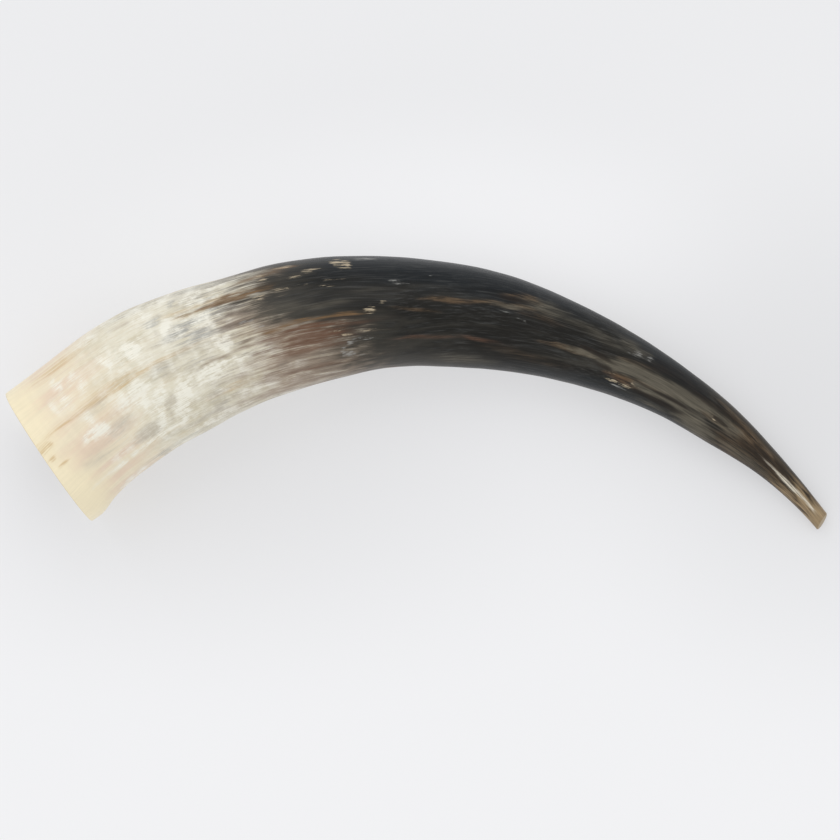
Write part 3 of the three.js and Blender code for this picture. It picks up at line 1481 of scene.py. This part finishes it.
@dataclass(frozen=True)
class Horn:
    """The whole horn as one closed mesh."""

    form: HornForm = HornForm()
    pattern: Pattern = Pattern()
    sides: int = 240
    skin_rings: int = 300
    hollow_rings: int = 56
    hollow_end: float = 0.9995
    rim_round: float = 0.0006
    tip_round: float = 0.0008
    facets: Waves = Waves(3, 9, 0.00010, (3, 9), (0.09, 0.26))
    growth: Waves = Waves(5, 7, 0.00007, (0, 2), (0.014, 0.034))
    least_relief: float = 0.2
    grooves: Waves = Waves(8, 24, 0.00022, (12, 48), (0.05, 0.16))

    def build(self) -> Object:
        """Makes the horn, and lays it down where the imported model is.

        Returns:
            The horn's object.
        """
        bm = bmesh.new()
        bm.verts.layers.int.new("column")
        bm.verts.layers.float.new("along")
        bm.verts.layers.float.new("depth")
        skin = [(Wall.SKIN, station) for station in reversed(self.skin_stations())]
        hollow = [(Wall.HOLLOW, station) for station in self.hollow_stations()]
        loops = self.draw_out(bm, skin + hollow)
        for edges, kind in ((loops[0], Face.SAWN), (loops[-1], Face.HOLLOW)):
            for face in bmesh.ops.contextual_create(bm, geom=edges)["faces"]:
                face.material_index = kind.value
        self.soften(bm, loops[len(skin) - 1] + loops[len(skin)], self.rim_round)
        self.soften(bm, loops[0], self.tip_round)
        bmesh.ops.recalc_face_normals(bm, faces=bm.faces[:])
        self.unwrap(bm)
        mesh = bpy.data.meshes.new("horn_sheath")
        bm.to_mesh(mesh)
        bm.free()
        mesh.polygons.foreach_set("use_smooth", [True] * len(mesh.polygons))
        self.paint(mesh)
        self.lay_down(mesh)
        return add_object("horn_sheath", mesh)

    def side_of(self, column: Numbers) -> Numbers:
        """Returns the side of the horn that a column of vertices is on, counted from beneath."""
        return column * 360.0 / self.sides - 180.0

    def column_sides(self) -> Numbers:
        """Returns the side of each column of vertices, from under the horn and round."""
        return self.side_of(np.arange(self.sides))

    def skin_stations(self) -> list[Numbers]:
        """Works out where each ring of the skin lies, on each side of the horn.

        Returns:
            The distances along the horn, a ring at a time from the mouth to the tip.
        """
        side = self.column_sides()
        mouth = self.form.meet(self.form.mouth_cut, side, Wall.SKIN)
        tip = self.form.meet(self.form.tip_cut, side, Wall.SKIN)
        return [mouth + (tip - mouth) * share for share in np.linspace(0, 1, self.skin_rings)]

    def hollow_stations(self) -> list[Numbers]:
        """Works out where each ring of the hollow lies, closer together towards its blunt end.

        Returns:
            The distances along the horn, a ring at a time from the mouth to the end.
        """
        mouth = self.form.meet(self.form.mouth_cut, self.column_sides(), Wall.HOLLOW)
        end = self.form.hollow_depth * self.hollow_end
        shares = np.sin(np.linspace(0, math.pi / 2, self.hollow_rings))
        return [mouth + (end - mouth) * share for share in shares]

    def relief(self, wall: Wall, along: Numbers, side: Numbers) -> Numbers:
        """Works out how far each point stands out from the smooth form.

        Args:
            wall: Which side of the wall.
            along: Distances from the mouth.
            side: Angles round the horn, in degrees.

        Returns:
            The height at each place: grooves in the hollow, and facets and growth on the skin.
        """
        if wall is Wall.HOLLOW:
            return self.grooves.at(along, side)
        waning = 1 + self.least_relief - along / self.form.axis_length
        height = self.facets.at(along, side) + self.growth.at(along, side)
        return height * np.clip(waning, self.least_relief, 1)

    def draw_out(self, bm: BMesh, stations: Sequence[tuple[Wall, Numbers]]) -> list[list[BMEdge]]:
        """Draws the wall out a ring at a time.

        Args:
            bm: The mesh to add to.
            stations: Each ring's side of the wall, and where it lies on each side of the horn.

        Returns:
            The edges of each ring.
        """
        column = bm.verts.layers.int["column"]
        ring = bmesh.ops.create_circle(bm, segments=self.sides, radius=1.0)["verts"]
        for number, vert in enumerate(ring):
            vert[column] = number
        loops = [bm.edges[:]]
        last, station = stations[0]
        self.set_ring(bm, ring, last, station)
        for wall, station in stations[1:]:
            grown = bmesh.ops.extrude_edge_only(bm, edges=loops[-1])["geom"]
            ring = [element for element in grown if isinstance(element, BMVert)]
            new = set(ring)
            loops.append([e for e in grown if isinstance(e, BMEdge) and new.issuperset(e.verts)])
            kind = Face.SKIN if wall is Wall.SKIN else Face.HOLLOW
            for element in grown:
                if isinstance(element, BMFace):
                    element.material_index = (kind if wall is last else Face.SAWN).value
            self.set_ring(bm, ring, wall, station)
            last = wall
        return loops

    def set_ring(self, bm: BMesh, ring: Sequence[BMVert], wall: Wall, station: Numbers) -> None:
        """Puts a ring's vertices in place, and notes where on the horn each one is.

        Args:
            bm: The mesh that it belongs to.
            ring: The vertices.
            wall: Which side of the wall.
            station: Where the ring lies on each side of the horn.
        """
        columns = np.array([vert[bm.verts.layers.int["column"]] for vert in ring])
        side, along = self.column_sides()[columns], station[columns]
        places = self.form.place(along, side, wall, self.relief(wall, along, side))
        for vert, place, reach in zip(ring, places, along):
            vert.co = place
            vert[bm.verts.layers.float["along"]] = reach
            vert[bm.verts.layers.float["depth"]] = wall.value

    def soften(self, bm: BMesh, edges: Sequence[BMEdge], amount: float) -> None:
        """Rounds the edges of a sawn face.

        Args:
            bm: The mesh that they belong to.
            edges: The edges.
            amount: How far the rounding reaches.
        """
        bmesh.ops.bevel(
            bm,
            geom=list(edges),
            offset=amount,
            affect="EDGES",
            segments=3,
            profile=0.5,
            material=-1,
        )

    def unwrap(self, bm: BMesh) -> None:
        """Unrolls the horn: U runs from the mouth to the tip, and V round it from underneath.

        Args:
            bm: The mesh.
        """
        column, along = bm.verts.layers.int["column"], bm.verts.layers.float["along"]
        flat = bm.loops.layers.uv.new(UV_NAME)
        for face in bm.faces:
            columns = [loop.vert[column] for loop in face.loops]
            wraps = max(columns) - min(columns) > self.sides / 2
            for loop, at in zip(face.loops, columns):
                turns = at / self.sides + (1 if wraps and at < self.sides / 2 else 0)
                loop[flat].uv = (loop.vert[along] / self.form.axis_length, turns)

    def paint(self, mesh: Mesh) -> None:
        """Lays the pigments on the mesh, one attribute each.

        Args:
            mesh: The horn's mesh, before it is laid down.
        """
        column = np.zeros(len(mesh.vertices), np.int32)
        along = np.zeros(len(mesh.vertices), np.float32)
        mesh.attributes["column"].data.foreach_get("value", column)
        mesh.attributes["along"].data.foreach_get("value", along)
        side = self.side_of(column)
        radius = self.form.skin_radius(along) * 1000
        for pigment, cover in self.pattern.lay(along * 1000.0, side, radius).items():
            layer = mesh.attributes.new(pigment.value, "FLOAT", "POINT")
            layer.data.foreach_set("value", cover.astype(np.float32))

    def lay_down(self, mesh: Mesh) -> None:
        """Turns the horn on to its side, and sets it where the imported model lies.

        Args:
            mesh: The horn's mesh.
        """
        mesh.transform(self.form.rest())
        places = np.zeros(len(mesh.vertices) * 3)
        mesh.vertices.foreach_get("co", places)
        low, high = places.reshape(-1, 3).min(0), places.reshape(-1, 3).max(0)
        packed_low, packed_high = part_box("horn")
        shift = (packed_low + packed_high) / 2 - Vector((low + high) / 2)
        shift.z = packed_low.z - low[2]
        mesh.transform(Matrix.Translation(shift))

    def dress(self, piece: Object) -> None:
        """Gives the horn its finishes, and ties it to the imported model.

        Args:
            piece: The horn's object.
        """
        piece.data.materials.append(PolishedHorn().material(self.form))
        piece.data.materials.append(SawnHorn().material())
        piece.data.materials.append(HollowHorn().material())
        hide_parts("horn")
        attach(piece, "root")


# ---- the studio ----


@dataclass(frozen=True)
class Lamp:
    """A soft square light that looks at the middle of the table."""

    name: str
    place: Triple
    size: float
    power: float

    def add(self) -> None:
        """Adds the light to the scene."""
        light = bpy.data.lights.new(self.name, "AREA")
        light.shape = "SQUARE"
        light.size = self.size
        light.energy = self.power
        lamp = add_object(self.name, light)
        lamp.location = self.place
        lamp.rotation_euler = (-Vector(self.place)).to_track_quat("-Z", "Y").to_euler()


@dataclass(frozen=True)
class PaintedPool:
    """A soft-edged pool on the table where it glows more, as painted light, or less, as painted
    shadow.
    """

    at: Span
    reach: Span
    lift: float

    def on(self, graph: Graph, place: NodeSocket) -> NodeSocket:
        """Works out the pool's share of the glow.

        Args:
            graph: The table's nodes.
            place: Where on the table.

        Returns:
            What the pool adds to the glow.
        """
        from_middle = graph.vector("SUBTRACT", place, (*self.at, 0.0))
        scale = (1 / self.reach[0], 1 / self.reach[1], 0.0)
        scaled = graph.vector("MULTIPLY", from_middle, scale)
        far = graph.add("VectorMath", {0: scaled}, operation="LENGTH").outputs["Value"]
        return graph.math("MULTIPLY", graph.ramp(far, (1.0, 0.0)), self.lift)


@dataclass(frozen=True)
class Studio:
    """A pale table that glows softly, in a tent of light."""

    table_size: float = 12.0
    table: Colour = (0.36, 0.36, 0.365)
    table_roughness: float = 0.9
    table_gloss: float = 0.2
    glow: Colour = (0.985, 0.985, 1.0)
    glow_far: float = 0.482
    glow_near: float = 0.543
    glow_run: Span = (0.22, -0.24)
    # Painted light and painted shadow: the first pool lifts the glow over the horn's own shadow
    # above it, and the other two paint a shadow across the middle and the right of the table.
    painted_pools: tuple[PaintedPool, ...] = (
        PaintedPool((0.0, 0.075), (0.20, 0.085), 0.085),
        PaintedPool((0.21, -0.02), (0.17, 0.17), -0.10),
        PaintedPool((-0.09, -0.05), (0.23, 0.12), -0.065),
    )
    tent: Colour = (0.98, 0.99, 1.0)
    overhead: float = 0.86
    around: float = 0.93
    behind: float = 0.62
    lamps: tuple[Lamp, ...] = (Lamp("key", (-0.4, 1.6, 1.7), 2.0, 14.0),)

    def build(self) -> None:
        """Lays the table, hangs the lights and sets the tent round them."""
        bm = bmesh.new()
        bmesh.ops.create_grid(bm, x_segments=1, y_segments=1, size=self.table_size / 2)
        mesh = bpy.data.meshes.new("table")
        bm.to_mesh(mesh)
        bm.free()
        mesh.materials.append(self.table_top())
        table = add_object("table", mesh)
        self.pitch_tent()
        bpy.context.scene.view_settings.view_transform = "Standard"
        for lamp in self.lamps:
            lamp.add()

    def table_top(self) -> Material:
        """Makes the table's finish, which glows a little more near its front, and more or less in
        its pools of painted light and painted shadow.

        Returns:
            The material.
        """
        graph = Graph(bpy.data.materials.new("glowing_table"))
        place = graph.place("Object")
        near = graph.ramp(graph.split(place)[1], self.glow_run)
        lift = graph.math("MULTIPLY_ADD", near, self.glow_near - self.glow_far, self.glow_far)
        # The pools add painted light and painted shadow to the glow.
        for pool in self.painted_pools:
            lift = graph.math("ADD", lift, pool.on(graph, place))
        inputs = {
            "Base Color": self.table,
            "Roughness": self.table_roughness,
            "Specular IOR Level": self.table_gloss,
            "Emission Color": self.glow,
            "Emission Strength": lift,
        }
        graph.feed(graph.shader, inputs)
        return graph.owner

    def pitch_tent(self) -> None:
        """Makes the world a tent, less bright low down behind the table."""
        graph = Graph(bpy.data.worlds.new("tent"), "Background")
        _, back, up = graph.split(graph.place("Generated"))
        low = graph.slide(back, (0.0, 1.0), self.around, self.behind)
        light = graph.slide(up, (0.0, 1.0), low, self.overhead)
        graph.feed(graph.shader, {"Color": self.tent, "Strength": light})
        bpy.context.scene.world = graph.owner


@dataclass(frozen=True)
class Portrait:
    """A camera that looks down on the horn, square to the plane that it curves in."""

    aim: Triple = (0.002067, -0.01285, 0.019714)
    distance: float = 1.6
    frame_width: float = 0.420
    sensor: float = 36.0
    turn: float = -0.5

    def build(self, form: HornForm) -> None:
        """Places the camera.

        Args:
            form: The horn, whose plane it faces.
        """
        camera = bpy.data.cameras.new("portrait")
        camera.sensor_width = self.sensor
        camera.lens = self.sensor * self.distance / self.frame_width
        turned = form.rest() @ Matrix.Rotation(math.radians(self.turn), 4, "Z")
        back = turned @ Vector((0, 0, self.distance))
        view = add_object("portrait", camera)
        view.matrix_world = Matrix.Translation(Vector(self.aim) + back) @ turned
        bpy.context.scene.camera = view


def main() -> None:
    """Builds the horn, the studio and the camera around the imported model."""
    logging.basicConfig(level=logging.INFO, format="%(message)s")
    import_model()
    horn = Horn()
    piece = horn.build()
    horn.dress(piece)
    log.info("horn_sheath: %d faces", len(piece.data.polygons))
    Studio().build()
    Portrait().build(horn.form)


if __name__ == "__main__":
    main()
